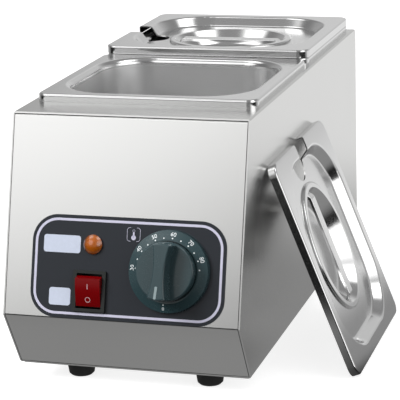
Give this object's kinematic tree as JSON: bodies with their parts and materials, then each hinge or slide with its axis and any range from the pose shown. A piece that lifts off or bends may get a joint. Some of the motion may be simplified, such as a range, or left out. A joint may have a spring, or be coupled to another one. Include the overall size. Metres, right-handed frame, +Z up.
{
  "type": "chocolate melter",
  "caption": "Countertop chocolate melter: folded steel casing with slanted control panel, lift-out pans over a heated water tank, notched lids, dial, rocker switch and lamp.",
  "frame": {"origin": "middle of the bounding box's footprint, on the counter the feet stand on", "axes": "+Z up, -Y towards the user and the control panel, +X to the user's right, where the loose lid leans"},
  "size_m": [0.2554, 0.4564, 0.224],
  "materials": {
    "casing_steel": "satin",
    "pan_steel": "polished",
    "lid_steel": "polished",
    "tank_steel": "satin",
    "fixings": "zinc plated",
    "heater_aluminium": "cast",
    "element_sheath": "oxidised",
    "cutout_plastic": "bakelite",
    "foot_rubber": "matt",
    "fascia_film": "printed film",
    "amber_lens": "translucent",
    "black_plastic": "moulded",
    "red_plastic": "moulded",
    "dial_ring_plastic": "moulded, printed scale",
    "knob_plastic": "moulded",
    "thermostat_housing": "plated",
    "capillary_copper": "drawn",
    "terminal_plastic": "moulded",
    "earth_brass": "machined"
  },
  "bodies": {
    "housing": {"casing": "casing_steel", "front_panel": "casing_steel", "back_panel": "casing_steel", "bottom_plate": "casing_steel", "bottom_screws": "fixings", "front_left_foot": "foot_rubber", "front_right_foot": "foot_rubber", "rear_left_foot": "foot_rubber", "rear_right_foot": "foot_rubber", "foot_screws": "fixings", "foot_nuts": "fixings", "water_tank": "tank_steel", "heater_plate": "heater_aluminium", "heating_element": "element_sheath", "element_clamps": "fixings", "clamp_nuts": "fixings", "overheat_cutout": "cutout_plastic", "control_fascia": "fascia_film", "indicator_lens": "amber_lens", "indicator_body": "black_plastic", "rocker_body": "black_plastic", "dial_ring": "dial_ring_plastic", "thermostat_body": "thermostat_housing", "thermostat_screws": "fixings", "capillary_tube": "capillary_copper", "sensor_bulb": "capillary_copper", "bulb_clip": "fixings", "terminal_block": "terminal_plastic", "earth_stud": "earth_brass", "cable_gland": "black_plastic", "gland_locknut": "black_plastic"},
    "front_pan": {"front_pan": "pan_steel"},
    "rear_pan": {"rear_pan": "pan_steel"},
    "rear_lid": {"rear_lid": "lid_steel", "rear_lid_handle": "lid_steel"},
    "front_lid": {"front_lid": "lid_steel", "front_lid_handle": "lid_steel"},
    "knob": {"thermostat_knob": "knob_plastic", "thermostat_shaft": "fixings"},
    "rocker": {"rocker_paddle": "red_plastic"}
  },
  "joints": [
    {"name": "front_pan_lift", "type": "slide", "parent": "housing", "child": "front_pan", "axis": [0, 0, 1], "range_m": [0, 0.13]},
    {"name": "rear_pan_lift", "type": "slide", "parent": "housing", "child": "rear_pan", "axis": [0, 0, 1], "range_m": [0, 0.13]},
    {"name": "rear_lid_lift", "type": "slide", "parent": "rear_pan", "child": "rear_lid", "axis": [0, 0, 1], "range_m": [0, 0.06]},
    {"name": "front_lid_slide", "type": "slide", "parent": "housing", "child": "front_lid", "axis": [1, 0, 0], "range_m": [0, 0.1]},
    {"name": "knob_turn", "type": "hinge", "parent": "housing", "child": "knob", "pos_m": [0.00215, -0.19559, 0.10262], "axis": [0, 0.9596, -0.2814], "range_deg": [0, 270]},
    {"name": "rocker_tilt", "type": "hinge", "parent": "housing", "child": "rocker", "pos_m": [-0.05925, -0.20068, 0.08525], "axis": [-1, 0, 0], "range_deg": [0, 28]}
  ]
}
